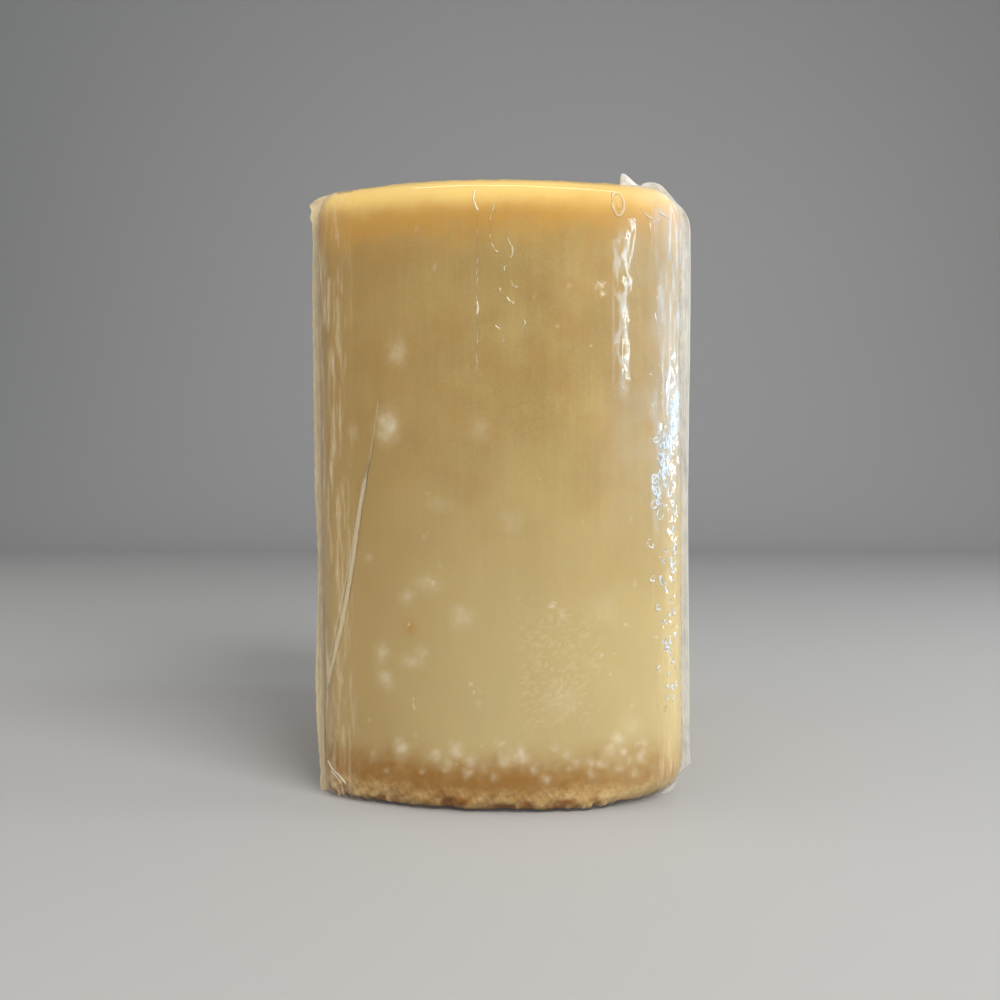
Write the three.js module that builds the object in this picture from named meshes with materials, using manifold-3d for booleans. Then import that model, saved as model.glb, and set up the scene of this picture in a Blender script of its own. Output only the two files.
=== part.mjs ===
// A wedge of hard parmesan, vacuum sealed in clear film, as one solid, in millimetres with +Z up.
// It was cut from a small wheel and stands on the wheel's flat side, so the wheel's round side, the
// heel, is the front and faces -Y. The two cut faces run back from it and meet in a blunt tip.
// The film lies on the cheese like a skin. It stands clear of it only in the seams: one down each
// side of the heel, which ends in a crumpled ear at the top, and the mouth, laid over on the top.
import * as THREE from 'three';
import { mergeVertices } from 'three/addons/utils/BufferGeometryUtils.js';
import loadManifold from 'manifold-3d';

// Wheel and cut
const wheelRadius = 130;
const wheelHeight = 166;
const cutHalfAngle = THREE.MathUtils.degToRad(24.2);
const leftCornerRadius = 8;
const rightCornerRadius = 11;
const tipRadius = 5;
const leftLean = { size: 1.1, reach: 48 };  // the left side leans in towards the base
const topDome = 0.9;                // rise of the top face in its middle
const middleShare = 0.46;           // where that middle is, as a share of the way back to the wheel's axis

// Rounding of the top and bottom rims, as the inset of the flat face from the wall. Across the heel
// it passes from its left to its right value between two places.
const shoulder = { cut: 4, left: 6, right: 10, rise: 1.15, from: -48, to: 48 };
const foot = { cut: 3, left: 3, right: 11, rise: 1, from: 20, to: 48 };
const heelDepth = { from: 16, to: 44 };    // depth over which heel rounding turns into cut rounding

// Crumbled lower rim of the heel
const chipCount = 26;
const chipSize = { widest: 6.5, narrowest: 2.2, deepest: 1.5, shallowest: 0.5, tallest: 5.5, lowest: 1.8 };
const chipSpread = 0.7;             // how far a chip strays from an even spacing
const chipFade = { across: [0.25, 0.75], up: [0.35, 1] };  // shares of its size over which it ends
const ripple = { size: 0.28, pitch: 2.9, rowTurn: 2.1, skew: 0.8, from: 2.7, to: 9 };
const heelWave = { size: 0.3, across: 31, up: 57 };
const cutWave = { size: 0.45, along: 17, slant: 0.06, up: 23, skew: 0.09 };

// Seams of the film
const filmFold = 1.1;               // thickness of a flattened seam
const seamRoot = 4;                 // how deep a seam is rooted in the wedge
const rightSeam = { width: 2.1, bottom: 10.5, forward: 0.25 };
const rightToe = { reach: 9, up: 3.2, bend: [1.2, 2.2], tip: [0.4, 0.5] };
const rightEar = { least: 1.9, peak: { size: 5.2, at: 31.5, reach: 4.5 } };
const rightCrest = { size: 3.4, at: 41.5, reach: 6 };
const leftSeam = { width: 1.7, least: 0.1, bottom: 6, fade: 9, end: 10, forward: 0.2 };
const leftBites = { size: 0.35, pitch: 3.4, drift: 0.31 };
const leftEar = { size: 2.9, reach: 5 };
const mouth = { turn: THREE.MathUtils.degToRad(20.2), behindHeel: 14, depth: 23, wave: 0.9, waves: 2.5 };
const mouthFold = { wave: 0.27, phase: 0.7 };

// Facets
const steps = { heel: 52, corner: 7, cut: 15, tip: 6, rightSeam: 44, toe: 7, leftSeam: 96, mouth: 24 };
const wallRows = [12.5, 17, 24, 33, 45, 60, 76, 92, 108, 122, 134, 143];
const lowRows = [0.15, 0.3, 0.48, 0.7];
const roundRows = 6;
const capRings = [0.36, 0.7, 0.9];

const cheeseColour = new THREE.Color(0xc6ac74);
const { clamp, lerp, smoothstep } = THREE.MathUtils;

// A seeded draw from 0 to 1, the same on each run.
function drawFrom(seed) {
  let state = seed;
  return () => {
    state = (state * 1664525 + 1013904223) % 4294967296;
    return state / 4294967296;
  };
}

// The round corner between the heel and a cut face: its centre, and where it leaves each of them.
function cornerAt(side, radius) {
  const reach = wheelRadius - radius;
  const turn = cutHalfAngle - Math.asin(radius / reach);
  const centre = new THREE.Vector2(side * reach * Math.sin(turn), wheelRadius - reach * Math.cos(turn));
  return { centre, radius, turn, cutLength: Math.sqrt(reach * reach - radius * radius) };
}

const leftCorner = cornerAt(-1, leftCornerRadius);
const rightCorner = cornerAt(1, rightCornerRadius);
const leftEdge = leftCorner.centre.x - leftCornerRadius;
const rightEdge = rightCorner.centre.x + rightCornerRadius;

// A circular stretch of the plan, between two directions of its outward normal.
function arcStretch(centre, radius, from, to, count) {
  return { curve: new THREE.EllipseCurve(centre.x, centre.y, radius, radius, from, to), count };
}

// A point of a cut face, at a distance from the wheel's centre.
function onCut(side, distance) {
  const across = side * distance * Math.sin(cutHalfAngle);
  return new THREE.Vector2(across, wheelRadius - distance * Math.cos(cutHalfAngle));
}

// The plan of the wedge, counterclockwise from the heel's left end, each point with its outward normal.
function planOutline() {
  const down = -Math.PI / 2;
  const wheelCentre = new THREE.Vector2(0, wheelRadius);
  const tipCentre = new THREE.Vector2(0, wheelRadius - tipRadius / Math.sin(cutHalfAngle));
  const tipStart = tipRadius / Math.tan(cutHalfAngle);
  const rightNormal = cutHalfAngle;
  const leftNormal = Math.PI - cutHalfAngle;
  const [leftTurn, rightTurn] = [down - leftCorner.turn, down + rightCorner.turn];
  const heel = arcStretch(wheelCentre, wheelRadius, leftTurn, rightTurn, steps.heel);
  const right = arcStretch(rightCorner.centre, rightCornerRadius, rightTurn, rightNormal, steps.corner);
  const rightCut = new THREE.LineCurve(onCut(1, rightCorner.cutLength), onCut(1, tipStart));
  const tip = arcStretch(tipCentre, tipRadius, rightNormal, leftNormal, steps.tip);
  const leftCut = new THREE.LineCurve(onCut(-1, tipStart), onCut(-1, leftCorner.cutLength));
  const leftEnd = leftTurn + 2 * Math.PI;
  const left = arcStretch(leftCorner.centre, leftCornerRadius, leftNormal, leftEnd, steps.corner);
  const cuts = [{ curve: rightCut, count: steps.cut }, { curve: leftCut, count: steps.cut }];
  const stretches = [heel, right, cuts[0], tip, cuts[1], left];
  return stretches.flatMap(({ curve, count }) => Array.from({ length: count }, (_, i) => {
    const tangent = curve.getTangent(i / count);
    return { point: curve.getPoint(i / count), normal: new THREE.Vector2(tangent.y, -tangent.x) };
  }));
}

// Chips lost from the heel's lower rim: where each is, and how wide, tall and deep.
function lowerRimChips() {
  const draw = drawFrom(71);
  return Array.from({ length: chipCount }, (_, i) => ({
    at: lerp(leftEdge, rightEdge, (i + 0.5 + chipSpread * (draw() - 0.5)) / chipCount),
    width: lerp(chipSize.narrowest, chipSize.widest, draw() ** 2),
    height: lerp(chipSize.lowest, chipSize.tallest, draw()),
    depth: lerp(chipSize.shallowest, chipSize.deepest, draw() ** 2),
  }));
}

const chips = lowerRimChips();

// How much of the heel a plan point belongs to: 1 on the heel, 0 on the cut faces.
function heelShare(y) {
  return 1 - smoothstep(y, heelDepth.from, heelDepth.to);
}

// The inset of a rim at a plan point, from its values on the cut faces and at the heel's two ends.
function rimInset(rim, point) {
  const atHeel = lerp(rim.left, rim.right, smoothstep(point.x, rim.from, rim.to));
  return lerp(rim.cut, atHeel, heelShare(point.y));
}

// How deep the chips are at a place of the heel.
function chipLoss(x, z) {
  return Math.max(...chips.map(({ at, width, height, depth }) => {
    const [inner, outer] = chipFade.across.map((share) => share * width);
    const [lower, upper] = chipFade.up.map((share) => share * height);
    return depth * (1 - smoothstep(Math.abs(x - at), inner, outer)) * (1 - smoothstep(z, lower, upper));
  }));
}

// How far the surface is worn in at a place: chips and ripples low on the heel, and slow waves above.
function wornIn(point, z) {
  const low = 1 - smoothstep(z, ripple.from, ripple.to);
  const rowTurn = z * ripple.rowTurn + point.x * ripple.skew;
  const rippled = Math.sin(point.x * 2 * Math.PI / ripple.pitch) * Math.cos(rowTurn);
  const waveTurn = point.x / heelWave.across * Math.PI + z / heelWave.up;
  const slow = Math.sin(waveTurn) * Math.cos(z / heelWave.up * Math.PI);
  const heelLoss = chipLoss(point.x, z) + ripple.size * low * (1 + rippled) + heelWave.size * (1 + slow) / 2;
  const along = Math.sin(point.y / cutWave.along * Math.PI + Math.sign(point.x) * z * cutWave.slant);
  const upward = Math.sin(z / cutWave.up * Math.PI + point.y * cutWave.skew);
  return lerp(cutWave.size * (1 + along * upward) / 2, heelLoss, heelShare(point.y));
}

// The stretches of the wedge's side from the base up: a place for each height, as inset and height.
function sideRows() {
  const turns = Array.from({ length: roundRows }, (_, i) => (i + 1) / roundRows * Math.PI / 2);
  const footRows = lowRows.map((share) => ({ rim: foot, up: share }));
  const wall = wallRows.map((z) => ({ z }));
  const topRows = [0, ...turns].map((turn) => ({ rim: shoulder, turn }));
  return [{ rim: foot, up: 0 }, ...footRows, { rim: foot, up: 1 }, ...wall, ...topRows];
}

// A place on the wedge's side, from a plan point and a row.
function sidePlace({ point, normal }, row) {
  let inset = 0;
  let z = row.z;
  if (row.rim === foot) {
    const width = rimInset(foot, point);
    inset = width * (1 - Math.sqrt(1 - (1 - row.up) ** 2));
    z = width * foot.rise * row.up;
  }
  if (row.rim === shoulder) {
    const width = rimInset(shoulder, point);
    inset = width * (1 - Math.cos(row.turn));
    z = wheelHeight - width * shoulder.rise * (1 - Math.sin(row.turn));
  }
  const depth = inset + wornIn(point, z);
  const lean = leftLean.size * (1 - z / wheelHeight) * clamp(-point.x / leftLean.reach, 0, 1);
  return new THREE.Vector3(point.x - normal.x * depth + lean, point.y - normal.y * depth, z);
}

// A place on the flat top or base, between its middle and its rim.
function capPlace(rimPlace, share, rise) {
  const middle = new THREE.Vector3(0, middleShare * wheelRadius, rimPlace.z);
  const place = middle.lerp(rimPlace, share);
  place.z += rise * (1 - share * share);
  return place;
}

// The wedge: a lathe whose rows are laid on the plan, from the middle of the base to that of the top.
function wedgeGeometry() {
  const outline = planOutline();
  const rows = sideRows();
  const baseRings = [0, ...capRings].map((share) => ({ share, rise: 0, row: rows[0] }));
  const topRings = [...capRings].reverse().concat(0)
    .map((share) => ({ share, rise: topDome, row: rows[rows.length - 1] }));
  const sides = rows.map((row) => ({ share: 1, rise: 0, row }));
  const profile = [...baseRings, ...sides, ...topRings];
  const heights = profile.map(({ share }, i) => new THREE.Vector2(share, i));
  const geometry = new THREE.LatheGeometry(heights, outline.length);
  const places = geometry.attributes.position;
  for (let column = 0; column <= outline.length; column += 1) {
    const spot = outline[column % outline.length];
    profile.forEach(({ share, rise, row }, i) => {
      const place = capPlace(sidePlace(spot, row), share, rise);
      places.setXYZ(column * profile.length + i, place.x, place.y, place.z);
    });
  }
  return geometry;
}

// The front view of the wedge's right or left edge, from the foot up and over the shoulder: places
// at a given distance outside it. side is 1 or -1.
function edgeProfile(side, distance, from, to) {
  const edge = side > 0 ? rightEdge : leftEdge;
  const round = side > 0 ? shoulder.right : shoulder.left;
  const rise = round * shoulder.rise;
  const turnLength = Math.PI / 2 * round;
  const straight = wheelHeight - rise;
  return (travelled) => {
    const along = lerp(from, to, travelled);
    const out = distance(along);
    const lean = side < 0 ? leftLean.size * (1 - Math.min(along, wheelHeight) / wheelHeight) : 0;
    if (along < straight) {
      return new THREE.Vector2(edge + lean + side * out, along);
    }
    const turn = Math.min((along - straight) / turnLength, 1) * Math.PI / 2;
    const past = Math.max(along - straight - turnLength, 0);
    const across = edge - side * (round * (1 - Math.cos(turn)) + past);
    const up = wheelHeight - rise * (1 - Math.sin(turn));
    return new THREE.Vector2(across + side * out * Math.cos(turn), up + out * Math.sin(turn));
  };
}

// A flat seam that follows an edge profile, from its rooted inside to its free outside.
function seamGeometry(side, width, from, to, count, tail = []) {
  const outer = edgeProfile(side, width, from, to);
  const inner = edgeProfile(side, () => -seamRoot, from, to);
  const shares = Array.from({ length: count + 1 }, (_, i) => i / count);
  const shape = new THREE.Shape([...tail, ...shares.map(outer), ...shares.reverse().map(inner)]);
  const geometry = new THREE.ExtrudeGeometry(shape, { depth: filmFold, bevelEnabled: false, steps: 1 });
  geometry.rotateX(Math.PI / 2);
  return geometry;
}

// Moves a seam back to the wedge's widest place, and forward on the top, where it nears the heel.
function bendToCorner(geometry, corner, forward) {
  const places = geometry.attributes.position;
  for (let i = 0; i < places.count; i += 1) {
    const inward = Math.max(Math.abs(corner.centre.x) - Math.abs(places.getX(i)), 0);
    places.setY(i, places.getY(i) + corner.centre.y + filmFold / 2 - forward * inward);
  }
  return geometry;
}

// The right seam, with the hooked toe at its lower end and the crumpled ear at its upper end.
function rightSeamGeometry() {
  const straight = wheelHeight - shoulder.right * shoulder.rise;
  const turnEnd = straight + Math.PI / 2 * shoulder.right;
  const topAt = (x) => turnEnd + rightEdge - shoulder.right - x;
  const { least, peak } = rightEar;
  const width = (along) => {
    const plain = lerp(rightSeam.width, least, smoothstep(along, straight, turnEnd));
    const raised = [peak, rightCrest].map(({ size, at, reach }) => (
      size * (1 - smoothstep(Math.abs(along - topAt(at)), 0, reach))
    ));
    return Math.max(plain, ...raised);
  };
  const tipX = rightEdge + rightSeam.width;
  const toe = new THREE.QuadraticBezierCurve(
    new THREE.Vector2(rightEdge - rightToe.reach, rightToe.up),
    new THREE.Vector2(rightEdge - rightToe.bend[0], rightToe.up + rightToe.bend[1]),
    new THREE.Vector2(tipX - rightToe.tip[0], rightSeam.bottom - rightToe.tip[1]),
  );
  const end = topAt(peak.at - 1);
  const seam = seamGeometry(1, width, rightSeam.bottom, end, steps.rightSeam, toe.getPoints(steps.toe));
  return bendToCorner(seam, rightCorner, rightSeam.forward);
}

// The left seam, with bitten edge and a small ear where it passes over the shoulder.
function leftSeamGeometry() {
  const straight = wheelHeight - shoulder.left * shoulder.rise;
  const turnMiddle = straight + Math.PI / 4 * shoulder.left;
  const width = (along) => {
    const biteTurn = along * 2 * Math.PI / leftBites.pitch + Math.sin(along * leftBites.drift);
    const bite = leftBites.size * Math.sin(biteTurn);
    const ear = leftEar.size * (1 - smoothstep(Math.abs(along - turnMiddle), 0, leftEar.reach));
    const fade = 1 - smoothstep(along, turnMiddle, turnMiddle + leftSeam.fade);
    return Math.max((leftSeam.width + bite) * fade, ear) + leftSeam.least;
  };
  const seam = seamGeometry(-1, width, leftSeam.bottom, turnMiddle + leftSeam.end, steps.leftSeam);
  return bendToCorner(seam, leftCorner, leftSeam.forward);
}

// The mouth of the film, sealed flat and laid back over the top. It is folded along a line that
// keeps a steady distance behind the heel, and its free edge at the back is wavy.
function mouthGeometry() {
  const shares = Array.from({ length: steps.mouth + 1 }, (_, i) => i / steps.mouth);
  const edge = (share, behindHeel, size) => {
    const turn = lerp(-mouth.turn, mouth.turn, share);
    const swing = size * Math.sin(share * mouth.waves * 2 * Math.PI + mouthFold.phase);
    const reach = wheelRadius - behindHeel - swing;
    return new THREE.Vector2(reach * Math.sin(turn), wheelRadius - reach * Math.cos(turn));
  };
  const fold = shares.map((share) => edge(share, mouth.behindHeel, mouthFold.wave));
  const free = shares.reverse().map((share) => edge(share, mouth.behindHeel + mouth.depth, mouth.wave));
  const depth = topDome + 2 * filmFold;
  const outline = new THREE.Shape([...fold, ...free]);
  const geometry = new THREE.ExtrudeGeometry(outline, { depth, bevelEnabled: false });
  geometry.translate(0, 0, wheelHeight - filmFold);
  return geometry;
}

// A closed geometry as a manifold solid: shared vertices merged, and triangles without area dropped.
function asSolid(wasm, geometry) {
  const bare = geometry.clone();
  bare.deleteAttribute('normal');
  bare.deleteAttribute('uv');
  const merged = mergeVertices(bare, 1e-4);
  const corners = [];
  for (let i = 0; i < merged.index.count; i += 3) {
    const triangle = [0, 1, 2].map((k) => merged.index.getX(i + k));
    if (new Set(triangle).size === 3) {
      corners.push(...triangle);
    }
  }
  return new wasm.Manifold(new wasm.Mesh({
    numProp: 3,
    vertProperties: new Float32Array(merged.attributes.position.array),
    triVerts: new Uint32Array(corners),
  }));
}

// A manifold solid as a geometry, with its base at Z 0 and its box centred on the origin.
function asGeometry(solid) {
  const { vertProperties, triVerts } = solid.getMesh();
  const geometry = new THREE.BufferGeometry();
  geometry.setAttribute('position', new THREE.BufferAttribute(new Float32Array(vertProperties), 3));
  geometry.setIndex(new THREE.BufferAttribute(new Uint32Array(triVerts), 1));
  geometry.computeBoundingBox();
  const { min, max } = geometry.boundingBox;
  geometry.translate(-(min.x + max.x) / 2, -(min.y + max.y) / 2, -min.z);
  geometry.computeVertexNormals();
  return geometry;
}

const wasm = await loadManifold();
wasm.setup();

const wedge = asSolid(wasm, wedgeGeometry());
const seams = [rightSeamGeometry(), leftSeamGeometry(), mouthGeometry()];
const sealed = seams.reduce((solid, seam) => solid.add(asSolid(wasm, seam)), wedge);

const material = new THREE.MeshStandardMaterial({ color: cheeseColour, roughness: 0.28, metalness: 0 });
const sealedWedge = new THREE.Mesh(asGeometry(sealed), material);
sealedWedge.name = 'sealed_wedge';

const parmesan = new THREE.Group();
parmesan.add(sealedWedge);

export default parmesan;
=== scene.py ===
from math import asin, cos, pi, radians, sin, sqrt, tan

import bmesh
import bpy
import numpy as np
from mathutils import Matrix, Vector, noise


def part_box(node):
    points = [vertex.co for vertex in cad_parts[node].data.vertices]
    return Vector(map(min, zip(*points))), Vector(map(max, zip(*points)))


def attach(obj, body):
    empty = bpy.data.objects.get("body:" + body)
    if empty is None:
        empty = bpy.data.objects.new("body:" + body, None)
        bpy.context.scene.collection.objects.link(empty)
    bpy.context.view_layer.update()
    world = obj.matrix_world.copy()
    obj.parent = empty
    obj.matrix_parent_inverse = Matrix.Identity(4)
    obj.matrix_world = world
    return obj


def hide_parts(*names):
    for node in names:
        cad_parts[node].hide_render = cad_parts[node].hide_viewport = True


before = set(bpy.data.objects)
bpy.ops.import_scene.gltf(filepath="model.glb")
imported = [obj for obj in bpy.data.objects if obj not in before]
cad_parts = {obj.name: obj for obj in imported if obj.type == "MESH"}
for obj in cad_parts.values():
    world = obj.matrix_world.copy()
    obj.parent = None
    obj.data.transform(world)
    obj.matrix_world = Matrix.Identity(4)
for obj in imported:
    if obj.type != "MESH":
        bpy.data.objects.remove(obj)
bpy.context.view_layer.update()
low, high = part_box("sealed_wedge")
millimetre = 0.001
print("frame loaded")

# The form in millimetres, with +Z up, the middle of the round heel at x = y = 0 and the heel facing -Y.
form = {
    "wheelRadius": 130.0,
    "wheelHeight": 166.0,
    "cutHalfAngle": radians(24.2),
    "leftCorner": 8.0,
    "rightCorner": 11.0,
    "tipRadius": 5.0,
    "leftLean": 1.1,  # how far the left corner leans in towards the base
    "leanReach": 48.0,
    "topDome": 0.9,
    "middleShare": 0.46,  # where the middle of the top lies, as a share of the wheel's radius
    # the inset of the flat top and base from the side; on the heel it passes from its left to its right value
    # between two places across
    "shoulder": {"cut": 4.0, "left": 6.0, "right": 10.0, "rise": 1.15, "from": -48.0, "to": 48.0},
    "foot": {"cut": 3.0, "left": 3.0, "right": 11.0, "rise": 1.0, "from": 20.0, "to": 48.0},
    "heelDepth": (16.0, 44.0),  # the heel's rounding turns into that of the cut faces between these depths
    "heelWave": {"size": 0.3, "across": 31, "up": 57},  # shallow hollows and waves
    "cutWave": {"size": 0.45, "along": 17, "slant": 0.06, "up": 23, "skew": 0.09},
    "ripple": {"size": 0.28, "pitch": 2.9, "rowTurn": 2.1, "skew": 0.8, "from": 2.7, "to": 9.0},  # lower rim
    "seamWidth": 2.1,  # the right seam, which is the widest place of all
}
radius, height = form["wheelRadius"], form["wheelHeight"]


def lerp(first, second, share):
    return first + (second - first) * share


def smoothstep(value, start, end):
    share = np.clip((value - start) / (end - start), 0, 1)
    return share * share * (3 - 2 * share)


def between(value, start, full, fade, end):
    # rises from 0 to 1, and falls to 0 again
    return smoothstep(value, start, full) * (1 - smoothstep(value, fade, end))


def cornerAt(side, rounding):
    # centre of a rounded corner, how far round the wheel it lies, and where it meets the cut face
    reach = radius - rounding
    turn = form["cutHalfAngle"] - asin(rounding / reach)
    centre = (side * reach * sin(turn), radius - reach * cos(turn))
    return {"centre": centre, "turn": turn, "cutLength": sqrt(reach**2 - rounding**2)}


leftCorner = cornerAt(-1, form["leftCorner"])
rightCorner = cornerAt(1, form["rightCorner"])
leftEdge = leftCorner["centre"][0] - form["leftCorner"]
rightEdge = rightCorner["centre"][0] + form["rightCorner"]
toFrame = np.array([high.x / millimetre - rightEdge - form["seamWidth"], low.y / millimetre, 0.0])


def arcStretch(centre, rounding, start, end, spacing):
    count = max(3, round((end - start) * rounding / spacing))
    turn = start + (end - start) * np.arange(count) / count
    return np.stack([centre[0] + rounding * np.cos(turn), centre[1] + rounding * np.sin(turn), turn], 1)


def cutStretch(side, fromReach, toReach, turn, spacing):
    count = round(abs(toReach - fromReach) / spacing)
    reach = fromReach + (toReach - fromReach) * np.arange(count) / count
    half = form["cutHalfAngle"]
    return np.stack([side * reach * sin(half), radius - reach * cos(half), np.full(count, turn)], 1)


def planOutline(spacing):
    # the wedge seen from above, counterclockwise from the heel's left end, with the outward direction and
    # the distance along it from the middle of the heel
    half, down = form["cutHalfAngle"], -pi / 2
    tip = (0.0, radius - form["tipRadius"] / sin(half))
    tipStart = form["tipRadius"] / tan(half)
    splits = [-leftCorner["turn"], asin(spacing["leftZone"] / radius), asin(spacing["rightZone"] / radius)]
    splits = [down + turn for turn in splits] + [down + rightCorner["turn"]]
    centre = (0.0, radius)
    leftEnd = 3 * pi / 2 - leftCorner["turn"]
    stretches = [
        arcStretch(centre, radius, splits[0], splits[1], spacing["left"]),
        arcStretch(centre, radius, splits[1], splits[2], spacing["heel"]),
        arcStretch(centre, radius, splits[2], splits[3], spacing["right"]),
        arcStretch(rightCorner["centre"], form["rightCorner"], splits[3], half, spacing["right"]),
        cutStretch(1, rightCorner["cutLength"], tipStart, half, spacing["cut"]),
        arcStretch(tip, form["tipRadius"], half, pi - half, spacing["tip"]),
        cutStretch(-1, tipStart, leftCorner["cutLength"], pi - half, spacing["cut"]),
        arcStretch(leftCorner["centre"], form["leftCorner"], pi - half, leftEnd, spacing["left"]),
    ]
    rows = np.concatenate(stretches)
    x, y, turn = rows.T
    step = np.hypot(np.diff(x, append=x[0]), np.diff(y, append=y[0]))
    along = np.concatenate([[0], np.cumsum(step)[:-1]]) - leftCorner["turn"] * radius
    behindTip = np.arange(len(x)) >= sum(map(len, stretches[:-2]))
    along[behindTip] -= step.sum()
    return {"x": x, "y": y, "nx": np.cos(turn), "ny": np.sin(turn), "along": along}


def heelShare(y):
    return 1 - smoothstep(y, *form["heelDepth"])


def rimInset(rim, plan):
    atHeel = lerp(rim["left"], rim["right"], smoothstep(plan["x"], rim["from"], rim["to"]))
    return lerp(rim["cut"], atHeel, heelShare(plan["y"]))


def sideRows(plan, layout):
    # the inset and the height of each place of the side, row by row from the base to the top, and for the
    # flat faces the share of the way from their middle to the rim
    foot, shoulder = rimInset(form["foot"], plan), rimInset(form["shoulder"], plan)
    footTop, shoulderStart = foot * form["foot"]["rise"], height - shoulder * form["shoulder"]["rise"]
    ones = np.ones_like(foot)
    rows = [(foot, 0 * foot, share, 0.0) for share in layout["base"]]
    for turn in np.linspace(0, pi / 2, layout["foot"] + 1)[:-1]:
        rows.append((foot * (1 - sin(turn)), footTop * (1 - cos(turn)), 1.0, 0.0))
    lowShare = layout["lowTo"] / height
    wall = np.linspace(0, lowShare, layout["lowRows"] + 1)[:-1]
    wall = np.concatenate([wall, np.linspace(lowShare, 1, layout["wallRows"] + 1)])
    rows += [(0 * foot, lerp(footTop, shoulderStart, share), 1.0, 0.0) for share in wall]
    for turn in np.linspace(0, pi / 2, layout["shoulder"] + 1)[1:]:
        drop = shoulder * form["shoulder"]["rise"] * (1 - sin(turn))
        rows.append((shoulder * (1 - cos(turn)), height - drop, 1.0, form["topDome"]))
    rows += [(shoulder, height * ones, share, form["topDome"]) for share in layout["top"]]
    inset, up = (np.stack([row[k] for row in rows]) for k in (0, 1))
    share, dome = (np.array([row[k] for row in rows])[:, None] for k in (2, 3))
    return inset, up, share, dome


def drawFrom(seed):
    # seeded draws from 0 to 1
    state = seed
    while True:
        state = (state * 1664525 + 1013904223) % 4294967296
        yield state / 4294967296


chipped = {
    "count": 26,
    "spread": 0.7,  # how far a chip strays from an even spacing
    "width": (2.2, 6.5),
    "height": (1.8, 5.5),
    "depth": (0.5, 1.5),
    "fadeAcross": (0.25, 0.75),  # shares of its size over which it ends
    "fadeUp": (0.35, 1),
    "seed": 71,
}
draws = drawFrom(chipped["seed"])
chips = []
for number in range(chipped["count"]):  # chips lost from the heel's lower rim
    stray = chipped["spread"] * (next(draws) - 0.5)
    chips.append({
        "at": lerp(leftEdge, rightEdge, (number + 0.5 + stray) / chipped["count"]),
        "width": lerp(*chipped["width"], next(draws) ** 2),
        "height": lerp(*chipped["height"], next(draws)),
        "depth": lerp(*chipped["depth"], next(draws) ** 2),
    })


def chipLoss(x, up):
    loss = np.zeros_like(up)
    for chip in chips:
        inner, outer = (share * chip["width"] for share in chipped["fadeAcross"])
        lower, upper = (share * chip["height"] for share in chipped["fadeUp"])
        across = 1 - smoothstep(np.abs(x - chip["at"]), inner, outer)
        loss = np.maximum(loss, chip["depth"] * across * (1 - smoothstep(up, lower, upper)))
    return loss


def slowWaves(x, y, up):
    # shallow hollows and waves of the heel and of the cut faces
    heel, cut = form["heelWave"], form["cutWave"]
    slow = np.sin(x / heel["across"] * pi + up / heel["up"]) * np.cos(up / heel["up"] * pi)
    bumps = np.sin(y / cut["along"] * pi + np.sign(x) * up * cut["slant"])
    bumps = bumps * np.sin(up / cut["up"] * pi + y * cut["skew"])
    return lerp(cut["size"] * (1 + bumps) / 2, heel["size"] * (1 + slow) / 2, heelShare(y))


def lowRipple(x, up):
    ripple = form["ripple"]
    rippled = np.sin(x * 2 * pi / ripple["pitch"]) * np.cos(up * ripple["rowTurn"] + x * ripple["skew"])
    return ripple["size"] * (1 - smoothstep(up, ripple["from"], ripple["to"])) * (1 + rippled)


def layOut(plan, rows, depth):
    # places of a surface that lies a given depth inside the plan outline
    inset, up, share, dome = rows
    lean = form["leftLean"] * (1 - up / height) * np.clip(-plan["x"] / form["leanReach"], 0, 1)
    x = plan["x"] - plan["nx"] * (inset + depth) + lean
    y = plan["y"] - plan["ny"] * (inset + depth)
    middleY = form["middleShare"] * radius
    return np.stack([x * share, lerp(middleY, y, share), up + dome * (1 - share * share)], -1)


def outwardOf(places):
    # the outward direction at each place of a grid that closes round on itself
    around = np.roll(places, -1, 1) - np.roll(places, 1, 1)
    upward = np.gradient(places, axis=0)
    outward = np.cross(around, upward)
    size = np.linalg.norm(outward, axis=2, keepdims=True)
    flat = np.zeros_like(outward)
    flat[..., 2] = np.where(np.arange(len(places)) < len(places) / 2, -1, 1)[:, None]
    return np.where(size > 1e-9, outward / np.maximum(size, 1e-9), flat)


def noiseAt(places, size, octaves=3, seed=0):
    # fractal noise, about -1 to 1; size is in millimetres and may differ by axis
    spread = (places / np.array(size) + seed * 17.31).reshape(-1, 3)
    values = [noise.fractal(place, 1.0, 2.0, octaves) for place in spread.tolist()]
    return np.array(values).reshape(places.shape[:-1])


def closeEnds(rows):
    # a grid with its first and last rows drawn together to a point each
    ends = [row.mean(1, keepdims=True) + 0 * row for row in (rows[:1], rows[-1:])]
    return np.concatenate([ends[0], rows, ends[1]])


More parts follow.
